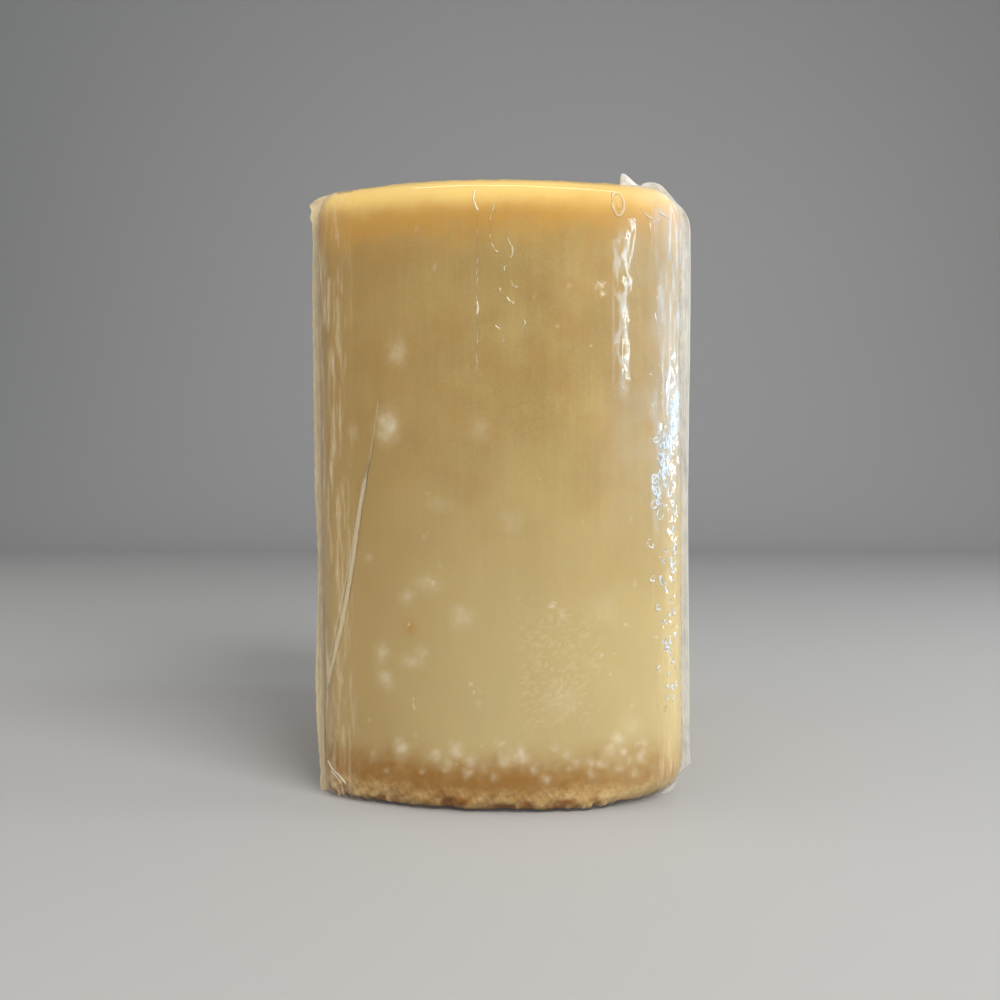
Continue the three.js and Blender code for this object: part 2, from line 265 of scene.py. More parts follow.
def gridPiece(name, grids):
    # one mesh from grids of places in millimetres, each closed round itself, with a dictionary of fields each
    made = bmesh.new()
    for places, _ in grids:
        bmesh.ops.create_grid(made, x_segments=places.shape[1], y_segments=places.shape[0] - 1, size=1)
    mesh = bpy.data.meshes.new(name)
    made.to_mesh(mesh)
    made.free()
    flat = np.zeros(len(mesh.vertices) * 3)
    mesh.vertices.foreach_get("co", flat)
    flat = flat.reshape(-1, 3)
    moved = []
    values = {field: [] for field in grids[0][1]}
    start = 0
    for places, fields in grids:
        rows, columns = places.shape[:2]
        spots = flat[start:start + rows * (columns + 1)]
        column = np.rint((spots[:, 0] + 1) / 2 * columns).astype(int) % columns
        row = np.rint((spots[:, 1] + 1) / 2 * (rows - 1)).astype(int)
        moved.append(places[row, column])
        for field in fields:
            values[field].append(fields[field][row, column])
        start += len(spots)
    mesh.vertices.foreach_set("co", ((np.concatenate(moved) + toFrame) * millimetre).ravel())
    for field, parts in values.items():
        layer = mesh.attributes.new(field, "FLOAT", "POINT")
        layer.data.foreach_set("value", np.concatenate(parts).astype(np.float32))
    joined = bmesh.new()
    joined.from_mesh(mesh)
    bmesh.ops.remove_doubles(joined, verts=joined.verts, dist=1e-6)  # where a grid closes on itself
    bmesh.ops.recalc_face_normals(joined, faces=joined.faces)
    joined.to_mesh(mesh)
    joined.free()
    mesh.shade_smooth()
    piece = bpy.data.objects.new(name, mesh)
    bpy.context.scene.collection.objects.link(piece)
    return piece


def dress(piece, material, slot):
    piece.data.materials.clear()
    piece.data.materials.append(material)
    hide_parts("sealed_wedge")
    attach(piece, "root")
    piece.visible_shadow = slot == "cheese"  # film lets the light through
    print(piece.name, len(piece.data.polygons), "faces")


def addNode(tree, kind, inputs=(), **settings):
    made = tree.nodes.new(kind)
    for setting, value in settings.items():
        setattr(made, setting, value)
    for socket, value in dict(inputs).items():
        if isinstance(value, bpy.types.NodeSocket):
            tree.links.new(value, made.inputs[socket])
        else:
            made.inputs[socket].default_value = value
    return made


def mixColour(tree, share, first, second, blend="MIX"):
    inputs = {0: share, 6: first, 7: second}
    return addNode(tree, "ShaderNodeMix", inputs, data_type="RGBA", blend_type=blend).outputs[2]


def maths(tree, operation, first, second=0.0, clamp=False):
    inputs = {0: first, 1: second}
    return addNode(tree, "ShaderNodeMath", inputs, operation=operation, use_clamp=clamp).outputs[0]


def ramp(tree, value, start, end, low=0.0, high=1.0, smooth=True):
    inputs = {"Value": value, "From Min": start, "From Max": end, "To Min": low, "To Max": high}
    kind = "SMOOTHSTEP" if smooth else "LINEAR"
    return addNode(tree, "ShaderNodeMapRange", inputs, interpolation_type=kind).outputs[0]


def noiseNode(tree, place, scale, detail, roughness):
    inputs = {"Vector": place, "Scale": scale, "Detail": detail, "Roughness": roughness}
    return addNode(tree, "ShaderNodeTexNoise", inputs).outputs["Fac"]


def attribute(tree, name):
    return addNode(tree, "ShaderNodeAttribute", attribute_name=name).outputs["Fac"]


def newMaterial(name):
    material = bpy.data.materials.new(name)
    material.use_nodes = True
    material.node_tree.nodes.clear()
    return material, material.node_tree


def linear(red, green, blue):
    # a screen colour, 0 to 255, as a shader's colour
    parts = [part / 255 for part in (red, green, blue)]
    return (*[part / 12.92 if part < 0.04045 else ((part + 0.055) / 1.055) ** 2.4 for part in parts], 1.0)


# The cheese. Across and up are millimetres on the heel, from its middle and from the base.
cheese = {
    "inside": 0.4,  # how far it lies inside the film
    "spacing": {  # where the sides of the heel begin, and the mesh's spacing in each stretch
        "leftZone": -38, "rightZone": 34, "left": 0.6, "heel": 0.62, "right": 0.6, "cut": 2.0, "tip": 1.0,
    },
    "layout": {
        "base": (0.0, 0.35, 0.7, 0.9),
        "foot": 9,
        "lowTo": 22,
        "lowRows": 42,
        "wallRows": 208,
        "shoulder": 12,
        "top": (0.96, 0.9, 0.8, 0.68, 0.54, 0.4, 0.2, 0.0),
    },
    "crumb": 0.12,  # relief of the crumbled lower rim
    "crumbHeights": (4.0, 9.0),
    "grit": 0.25,  # relief of the cut faces
    # The gold and cream colours of the upper rim are a painted glow, standing in for light from above shining
    # through the paste.
    "paintedTopGlow": (141, 161),  # heights between which each colour sets in or ends
    "paintedTopEdgeGlow": (153.5, 163.5),
    "rim": (2.6, 11.4),
    "brown": (5.5, 20.5),
    "brownRight": 25,  # the height where the brown ends at the right
    # Places across between which the left side's painted shade fades, and the right side's changes set in: a
    # paler lower rim (painted light), fainter brown and a weaker painted glow on top; and between which the
    # painted light of the left's lower rim fades.
    "warm": (-46, 4),
    "paleRight": (0, 34),
    "leftRim": (-36, -12),
    "softSpots": (  # pale clouds in the paste: across, up, wide, tall, strength
        (-27, 121, 5, 7, 0.5), (-30, 101.5, 6, 8, 0.75), (-4.4, 100, 5, 6, 0.3), (-40.4, 100, 3.5, 4, 0.3),
        (3, 76.5, 6, 6, 0.25), (-15, 80.5, 8, 4, 0.2), (-10, 51.5, 5.5, 5, 0.5), (-32.5, 41, 3.6, 4.6, 0.75),
        (-31, 34, 4.2, 4.6, 0.55), (-23.5, 39.5, 5.5, 3.6, 0.55), (-20, 42, 4, 3, 0.4),
        (28.5, 53, 6, 6, 0.25), (17, 30, 9, 9, 0.25), (35, 22, 5, 7, 0.3), (-24.5, 56.5, 4, 3.5, 0.4),
        (-19, 60, 8, 5, 0.3),
    ),
    "flakes": (  # small bright flecks: across, up, wide, tall, strength; the one in the pit at (-23.9, 48.9) is a painted highlight
        (26.6, 137.2, 2.2, 2.4, 0.9), (27.6, 135, 2.0, 1.8, 0.8), (28.2, 138.2, 1.0, 1.0, 0.6),
        (24, 121.5, 0.9, 0.9, 0.5), (11, 87, 0.9, 1.4, 0.5), (-17.8, 60, 1.0, 1.6, 0.85),
        (-18.4, 61, 1.0, 1.0, 0.7), (-4.5, 65.5, 1.2, 0.8, 0.4), (14.3, 54.5, 1.9, 2.3, 0.8),
        (-22.6, 27.3, 1.2, 1.6, 1.0), (-22.5, 29, 0.7, 1.4, 0.75), (-7.3, 34, 1.2, 1.4, 0.85),
        (-6.4, 31.8, 0.9, 1.5, 0.85), (33.8, 49, 1.0, 1.0, 0.7), (34.9, 76.5, 1.0, 1.2, 0.55),
        (29.4, 36.3, 1.0, 1.0, 0.6), (27.6, 41.3, 1.6, 1.0, 0.85), (29.8, 41.7, 1.4, 0.8, 0.7),
        (-23.9, 48.9, 1.1, 1.1, 0.9), (16.2, 101.5, 0.6, 0.9, 0.6),
    ),
    "crystals": (  # pale crystals over the brown band: across, up, size, strength
        (-26.9, 16, 3.8, 0.8), (-17.2, 14.8, 2.6, 0.9), (-11.3, 16.4, 3.4, 0.7), (-13.7, 12.4, 2.0, 0.6),
        (-7.4, 13.7, 2.6, 0.6), (-7.9, 10.6, 2.4, 0.55), (-1.2, 10, 2.3, 0.7), (2.2, 14.6, 3.4, 0.7),
        (5.8, 15.2, 4, 0.8), (9.4, 11.6, 1.9, 0.8), (14.5, 17.5, 1.8, 0.7), (18, 15.4, 2.2, 0.5),
        (20.3, 13.2, 2.4, 0.6), (24, 13.1, 2.6, 0.7), (27, 12.9, 2.4, 0.8), (29.1, 16, 3, 0.75),
        (31, 19, 3.4, 0.7), (32.9, 15.5, 2.4, 0.8), (37.9, 14.1, 2.6, 0.6), (38.2, 17.5, 2.4, 0.6),
        (24.3, 10.2, 2.4, 0.6), (31.8, 11.3, 2.2, 0.5), (-35, 13.5, 1.8, 0.5), (-31, 9.8, 1.6, 0.5),
        (-21, 10.2, 1.6, 0.6), (12.5, 9.2, 1.6, 0.5), (36, 10, 1.8, 0.5),
    ),
    "rustSpots": (  # orange-brown patches of the lower rim: across, up, wide, tall, strength
        (-11, 2.6, 8, 3.2, 1.0), (7.5, 2.4, 4.5, 2.6, 0.9), (17.5, 2.6, 9, 2.8, 0.8), (25, 3.2, 5, 2.4, 0.7),
        (-17, 5.5, 7, 3, 0.5), (14, 5.8, 7, 2.4, 0.45), (-40, 11, 10, 4, 0.4), (38, 2.6, 6, 2, 0.4),
        (-30, 11.5, 9, 3, 0.4),
    ),
    "pit": {"across": -23.9, "up": 48.4, "width": 1.0, "depth": 0.12, "halo": 3.4},
    "scatter": 170,  # further small crystals, all round the wedge
    "scatterSize": (0.7, 1.7),
    "scatterStrength": (0.25, 0.6),
    "seed": 5,
}


def spotField(plan, up, across, at, wide, tall):
    # 1 in the middle of an oval spot, falling to 0 round it
    return np.exp(-(((plan["along"] - across) / wide * 2) ** 2 + ((up - at) / tall * 2) ** 2))


def spotsField(plan, up, spots):
    # the strongest of several spots at each place
    field = np.zeros_like(up)
    for across, at, wide, tall, strength in spots:
        field = np.maximum(field, strength * spotField(plan, up, across, at, wide, tall))
    return field


def cheeseColours(plan, up, base, loss):
    # where each colour of the paste shows, as values from 0 to 1
    tone = 0.5 + 0.5 * noiseAt(base, 16, 5, 21) + 0.12 * noiseAt(base, (2.2, 2.2, 60), 3, 22)
    tone += 0.15 * noiseAt(base, (8, 8, 200), 2, 23)
    wobble = noiseAt(base, 7, 4, 24)
    fingers = noiseAt(base, (3.2, 3.2, 9), 4, 25)
    patches = noiseAt(base, (4, 4, 2.5), 3, 26)
    crumbled = noiseAt(base, 2.4, 4, 27)
    toRight = smoothstep(plan["along"], *cheese["paleRight"])
    toLeft = 1 - smoothstep(plan["along"], *cheese["leftRim"])
    bent = {"along": plan["along"] + 1.1 * noiseAt(base, 3, 3, 31)}  # so that the spots aren't plain ovals
    bentUp = up + 1.1 * noiseAt(base, 3, 3, 32)
    rim = 1 - smoothstep(up + 1.8 * crumbled, *cheese["rim"])
    # painted light: the pale rim is stronger towards the right and the left than in the middle, lighting the
    # rim's lower corners
    rim = rim * lerp(0.62, 1, np.maximum(toRight, 0.6 * toLeft))
    brownFrom, brownTo = cheese["brown"]
    brownTo = lerp(brownTo, cheese["brownRight"], toRight)
    brown = 1 - smoothstep(up + 2 * wobble + 1.5 * fingers, brownFrom, brownTo)
    rust = np.maximum(spotsField(plan, up, cheese["rustSpots"]), np.clip(loss, 0, 1) * (up < 4.5))
    crystals = [(across, at, size, size * 1.1, strength) for across, at, size, strength in cheese["crystals"]]
    pale = np.maximum(spotsField(bent, bentUp, cheese["softSpots"]), spotsField(bent, bentUp, crystals))
    draw = np.random.default_rng(cheese["seed"])
    reach = np.abs(plan["along"]).max()
    scattered = []
    for _ in range(cheese["scatter"]):
        at = 9 + draw.exponential(16) if draw.random() < 0.6 else draw.uniform(20, height - 8)
        size = draw.uniform(*cheese["scatterSize"])
        across = draw.uniform(-reach, reach)
        scattered.append((across, at, size, size * 1.2, draw.uniform(*cheese["scatterStrength"])))
    pit = cheese["pit"]
    return {
        "tone": np.clip(tone, 0, 1),
        # painted glow of the upper rim, for light from above; weaker to the right, where the key light
        # already lights the shoulder
        "paintedTopGlow": smoothstep(up + 3 * wobble, *cheese["paintedTopGlow"]) * (1 - 0.12 * toRight),
        "paintedTopEdgeGlow": smoothstep(up + 1.5 * wobble, *cheese["paintedTopEdgeGlow"]) * (1 - 0.35 * toRight),
        # painted shade of the heel's left side, fading towards the middle; on the cut faces a plain darker
        # tint of 0.3
        "tintAndLeftShade": lerp(0.3, 1 - smoothstep(plan["along"], *cheese["warm"]), heelShare(plan["y"])) + 0 * up,
        "brown": brown * (1 + 0.15 * patches) * (1 - 0.3 * toRight),
        "rim": rim * np.clip(0.85 + 0.4 * patches, 0.45, 1),
        "rust": rust,
        "pale": np.maximum(pale, spotsField(bent, bentUp, scattered)),
        "flecks": spotsField(bent, up, cheese["flakes"]),
        "halo": spotField(plan, up, pit["across"], pit["up"] - 0.4, pit["halo"], pit["halo"] * 1.1),
    }


def cheesePiece():
    plan = planOutline(cheese["spacing"])
    rows = sideRows(plan, cheese["layout"])
    up = rows[1]
    x, y = (np.broadcast_to(plan[key], up.shape) for key in ("x", "y"))
    onHeel = heelShare(y)
    base = layOut(plan, rows, 0 * up)
    lowness = 1 - smoothstep(up, *cheese["crumbHeights"])
    crumb = np.abs(noiseAt(base, 1.9, 3, 1)) + 0.6 * np.abs(noiseAt(base, 1.0, 2, 2))
    loss = chipLoss(x, up) * onHeel
    depth = cheese["inside"] + loss + lowRipple(x, up) * onHeel + slowWaves(x, y, up)
    depth += cheese["crumb"] * crumb * (0.15 + lowness * lerp(0.5, 1, onHeel))
    depth += cheese["grit"] * np.abs(noiseAt(base, 9, 4, 3)) * (1 - onHeel)
    pit = cheese["pit"]
    depth += pit["depth"] * spotField(plan, up, pit["across"], pit["up"], pit["width"], pit["width"])
    places = layOut(plan, rows, depth)
    thickness = 2 * cheese["inside"]
    places[..., 2] = cheese["inside"] + places[..., 2] * (height - thickness) / height
    return gridPiece("parmesan_wedge", [(places, cheeseColours(plan, up, base, loss))])


def cheeseMaterial():
    look = {
        "shade": linear(178, 151, 94),  # paste, darker and lighter
        "light": linear(196, 174, 118),
        "low": linear(212, 197, 150),  # paste painted paler towards the base, standing in for light bounced up from the floor
        "warm": linear(186, 148, 86),  # slightly redder places of the paste
        "left": linear(184, 150, 86),  # painted shade of the paste's left side, which faces away from the key light
        "paintedTopGlow": linear(212, 168, 82),  # painted glow of the upper rim, standing in for light from above shining through the paste
        # the palest painted glow, at the very top edge
        "paintedTopEdgeGlow": linear(236, 212, 140),
        "brown": linear(172, 126, 54),  # the band over the base
        "rust": linear(164, 104, 36),
        "crumb": linear(230, 206, 152),  # the pale crumbled rim
        # darker crumb colour, laid in the low places of the bump: painted shade of the dents
        "paintedDentShade": linear(216, 186, 130),
        "halo": linear(196, 146, 64),  # round the pit
        "pale": linear(232, 223, 200),  # clouds and crystals
        "fleck": linear(234, 226, 204),
    }
    material, tree = newMaterial("parmesanPaste")
    place = addNode(tree, "ShaderNodeTexCoord").outputs["Object"]
    up = maths(tree, "MULTIPLY", addNode(tree, "ShaderNodeSeparateXYZ", {0: place}).outputs["Z"], 1000)
    fine = noiseNode(tree, place, 1300, 2, 0.6)
    middling = noiseNode(tree, place, 420, 3, 0.6)
    blotches = noiseNode(tree, place, 110, 6, 0.65)
    drawnUp = addNode(tree, "ShaderNodeMapping", {"Vector": place, "Scale": (1, 1, 0.07)}).outputs[0]
    streaky = noiseNode(tree, drawnUp, 700, 4, 0.65)

    def roughened(name, noiseValue, amount, start, end, share, smooth=True):
        # an attribute whose edge is broken up by noise
        factor = ramp(tree, noiseValue, 0.28, 0.72, 1 - amount, 1 + amount, False)
        field = maths(tree, "MULTIPLY", attribute(tree, name), factor)
        return ramp(tree, field, start, end, 0, share, smooth)

    grain = maths(tree, "ADD", maths(tree, "MULTIPLY", fine, 0.9), maths(tree, "MULTIPLY", streaky, 0.7))
    tone = maths(tree, "ADD", attribute(tree, "tone"), maths(tree, "SUBTRACT", grain, 0.8), True)
    # the crumbs darker where the bump is low: painted shade in the dents
    crumbs = mixColour(tree, ramp(tree, middling, 0.34, 0.64), look["paintedDentShade"], look["crumb"])
    paste = mixColour(tree, tone, look["shade"], look["light"])
    layers = [  # each over the one before
        (ramp(tree, blotches, 0.44, 0.7, 0, 0.4), look["warm"]),
        # painted light: the paste paler towards the base, for light bounced up from the floor
        (ramp(tree, up, 118, 30, 0, 0.75), look["low"]),
        # the painted shade of the left side, and the cut faces' darker tint
        (maths(tree, "MULTIPLY", attribute(tree, "tintAndLeftShade"), 0.5), look["left"]),
        # the painted glow of the upper rim, over the paste
        (roughened("paintedTopGlow", middling, 0.1, 0, 1, 0.8), look["paintedTopGlow"]),
        (roughened("paintedTopEdgeGlow", middling, 0.05, 0, 1, 0.85), look["paintedTopEdgeGlow"]),
        (roughened("brown", middling, 0.15, 0, 1, 0.95), look["brown"]),
        (roughened("rim", fine, 0.3, 0.1, 1, 0.92), crumbs),
        (roughened("rust", middling, 0.4, 0.2, 0.9, 0.85), look["rust"]),
        (maths(tree, "MULTIPLY", attribute(tree, "halo"), 0.5), look["halo"]),
        (roughened("pale", middling, 0.5, 0.02, 1, 0.8, False), look["pale"]),
        (roughened("flecks", fine, 0.6, 0.1, 0.9, 0.85), look["fleck"]),
    ]
    for share, colour in layers:
        paste = mixColour(tree, share, paste, colour)

    relief = maths(tree, "ADD", maths(tree, "MULTIPLY", fine, 0.5), middling)
    strength = ramp(tree, attribute(tree, "rim"), 0, 1, 0.05, 0.3)
    bump = addNode(tree, "ShaderNodeBump", {"Strength": strength, "Distance": 0.0006, "Height": relief})
    shader = addNode(tree, "ShaderNodeBsdfPrincipled", {
        "Base Color": paste,
        "Roughness": ramp(tree, fine, 0.3, 0.7, 0.45, 0.6, False),
        "Specular IOR Level": 0.25,
        "Normal": bump.outputs[0],
        "Subsurface Weight": 0.3,
        "Subsurface Radius": (1.0, 0.6, 0.22),
        "Subsurface Scale": 0.003,
    })
    addNode(tree, "ShaderNodeOutputMaterial", {"Surface": shader.outputs[0]})
    return material


wedge = cheesePiece()
dress(wedge, cheeseMaterial(), "cheese")
print("cheese made")

# The film, one skin laid tight on the cheese.
film = {
    "spacing": {
        "leftZone": -36, "rightZone": 29, "left": 0.5, "heel": 0.8, "right": 0.36, "cut": 2.2, "tip": 1.2,
    },
    "layout": {
        "base": (0.0, 0.4, 0.8),
        "foot": 8,
        "lowTo": 20,
        "lowRows": 30,
        "wallRows": 214,
        "shoulder": 18,
        "top": (0.98, 0.95, 0.91, 0.86, 0.8, 0.73, 0.66, 0.58, 0.5, 0.42, 0.34, 0.26, 0.17, 0.08, 0.0),
    },
    "gap": 0.08,  # to the plain form of the wedge
    # Relief of each kind of wrinkle, and the size of its noise.
    "streak": (0.15, (0.95, 0.95, 12)),  # upright, near both seams
    "crumple": (0.45, (1.8, 1.8, 2.6)),  # bumpy, on the right side
    "ragged": (0.02, (1.7, 1.7, 2.8)),  # where the long highlight is
    "curl": (0.005, (2.8, 2.8, 2.4)),  # faint, low on the heel
    "swell": (0.09, 15),  # slow, all over
    "fold": (0.16, (11, 11, 26)),  # of the back
    "topFold": (0.16, (7, 11, 1)),
    "paintedStripHighlight": (0.42, (1.2, 1.2, 4.5)),  # painted highlight: whitish haze, torn by noise, where the long upright highlight lies beside the right side
    # Where each kind rises, is full, fades and ends, across and up.
    "sides": {"left": (-66, -58, -44, -38), "right": (38, 46, 60, 68)},
    "crumpleAt": ((37, 42, 52, 58), (24, 42, 112, 124)),
    "raggedAt": ((26, 30, 36, 39), (66, 90, 150, 157)),
    "curlAt": ((2, 8, 24, 30), (17, 25, 50, 60)),
    "paintedStripHighlightAt": ((29.6, 30.8, 33.6, 34.8), (106, 116, 147, 153)),
    "veils": (  # whitish places: across, up, wide, tall, strength; the one at (-50.4, 85) is painted light over the shade beside the left seam, and the one at (48.4, 106), bluish there, is a painted reflection of the window
        (44, 130, 8, 26, 0.26), (48, 106, 9, 34, 0.34), (45.5, 94, 6, 22, 0.3), (-47, 33, 6, 40, 0.1),
        (28, 120.5, 3, 20, 0.1), (49.5, 60, 5, 70, 0.12), (-50.4, 85, 4, 170, 0.26), (49, 140, 4, 30, 0.2),
        (31, 95, 3, 34, 0.12), (38, 95, 30, 190, 0.13), (47, 154, 13, 16, 0.3), (40, 161, 12, 7, 0.22),
        (48.4, 106, 4.5, 20, 0.55),
    ),
    "seed": 11,
}


def smoothPath(points, steps=10):
    # a Catmull-Rom curve through the points
    points = np.array([points[0], *points, points[-1]], float)
    t = np.linspace(0, 1, steps, endpoint=False)[:, None]
    parts = []
    for a, b, c, d in zip(points, points[1:], points[2:], points[3:]):
        bend, twist = 2 * a - 5 * b + 4 * c - d, 3 * b - a - 3 * c + d
        parts.append(0.5 * (2 * b + (c - a) * t + bend * t**2 + twist * t**3))
    return np.concatenate([*parts, points[-1:]])


def filmPiece():
    plan = planOutline(film["spacing"])
    rows = sideRows(plan, film["layout"])
    up, share = rows[1:3]
    x, y, along = (np.broadcast_to(plan[key], up.shape) for key in ("x", "y", "along"))
    onHeel = heelShare(y)
    depth = film["gap"] + (0.45 * chipLoss(x, up) + 0.5 * lowRipple(x, up)) * onHeel + slowWaves(x, y, up)
    base = layOut(plan, rows, depth)
    seed = film["seed"]

    leftZone, rightZone = (between(along, *film["sides"][side]) for side in ("left", "right"))
    crumpled, ragged, patch, paintedStripHighlightArea = (
        between(along, *film[name][0]) * between(up, *film[name][1])
        for name in ("crumpleAt", "raggedAt", "curlAt", "paintedStripHighlightAt")
    )
    back = 1 - np.clip(onHeel + leftZone + rightZone, 0, 1)
    top = smoothstep(up, height - 3, height)
    upright = noiseAt(base, film["streak"][1], 4, seed)
    curls = between(noiseAt(base, film["curl"][1], 3, seed + 1), 0.02, 0.1, 0.18, 0.34)
    patchy = smoothstep(noiseAt(base, 13, 2, seed + 2), -0.25, 0.3)
    bumpy = noiseAt(base, film["crumple"][1], 2, seed + 3) * (0.7 + 0.3 * patchy)
    folds = noiseAt(base, film["fold"][1], 3, seed + 6)
    wrinkles = noiseAt(base * np.array([1, 1, 0]), film["topFold"][1], 3, seed + 7)
    torn = smoothstep(noiseAt(base, film["paintedStripHighlight"][1], 4, seed + 8), -0.2, 0.25)

    relief = film["streak"][0] * upright * (leftZone + (1 - 0.5 * crumpled) * rightZone + 0.3 * back)
    relief += film["crumple"][0] * bumpy * crumpled
    relief += film["ragged"][0] * noiseAt(base, film["ragged"][1], 3, seed + 4) * ragged
    relief += film["curl"][0] * curls * patch
    relief += film["swell"][0] * noiseAt(base, film["swell"][1], 2, seed + 5)
    relief += film["fold"][0] * np.exp(-((folds / 0.12) ** 2)) * back
    relief *= share * smoothstep(up, 1.5, 5)
    relief += film["topFold"][0] * np.exp(-((wrinkles / 0.14) ** 2)) * top
    places = base + outwardOf(base) * relief[..., None]
    places[..., 2] = np.maximum(places[..., 2], 0)

    streaks = np.clip(upright, 0, 1)
    haze = leftZone * (0.06 + 0.8 * streaks) + rightZone * (0.12 + 0.6 * streaks)
    haze += 0.2 * patch * curls + back * (0.12 * streaks + 0.16 * np.exp(-((folds / 0.09) ** 2)))
    # painted highlight: whitish haze along the long upright highlight
    haze += film["paintedStripHighlight"][0] * paintedStripHighlightArea * torn
    haze += spotsField(plan, up, film["veils"]) * (0.55 + 0.45 * patchy)
    haze += 0.12 * np.exp(-((wrinkles / 0.1) ** 2)) * top
    # painted reflection: the milk tinted bluish on the right, where the bluish window is mirrored
    paintedWindowTint = between(along, 22, 38, 60, 76) * smoothstep(up, 60, 90)
    return gridPiece("film_skin", [(places, {"haze": np.clip(haze, 0, 0.8), "paintedWindowTint": paintedWindowTint})])


def clearShader(tree, haze, gloss, milkColour, bump=None, bending=1.6):
    # glossy clear film over what lies below it, with a share of white milkiness
    turned = {"Normal": bump} if bump else {}
    clear = addNode(tree, "ShaderNodeBsdfTransparent", {"Color": (1, 1, 1, 1)})
    shine = addNode(tree, "ShaderNodeBsdfAnisotropic", {"Color": (1, 1, 1, 1), "Roughness": gloss, **turned})
    edge = addNode(tree, "ShaderNodeFresnel", {"IOR": bending, **turned})
    mixed = {0: edge.outputs[0], 1: clear.outputs[0], 2: shine.outputs[0]}
    skin = addNode(tree, "ShaderNodeMixShader", mixed)
    milk = addNode(tree, "ShaderNodeBsdfPrincipled", {
        "Base Color": milkColour, "Roughness": 0.25, "Specular IOR Level": 0.5, **turned,
    })
    return addNode(tree, "ShaderNodeMixShader", {0: haze, 1: skin.outputs[0], 2: milk.outputs[0]}).outputs[0]


def filmMaterial(name, gloss, warm, bending):
    # clear where the haze attribute is 0, and its milk bluish instead of warm where the attribute for the
    # bluish tint is 1, a painted reflection of the bluish window
    material, tree = newMaterial(name)
    colour = mixColour(tree, attribute(tree, "paintedWindowTint"), warm, linear(226, 236, 246))
    shader = clearShader(tree, attribute(tree, "haze"), gloss, colour, bending=bending)
    addNode(tree, "ShaderNodeOutputMaterial", {"Surface": shader})
    return material


dress(filmPiece(), filmMaterial("clearFilm", 0.07, linear(232, 212, 172), 1.6), "clear_film")
print("film made")

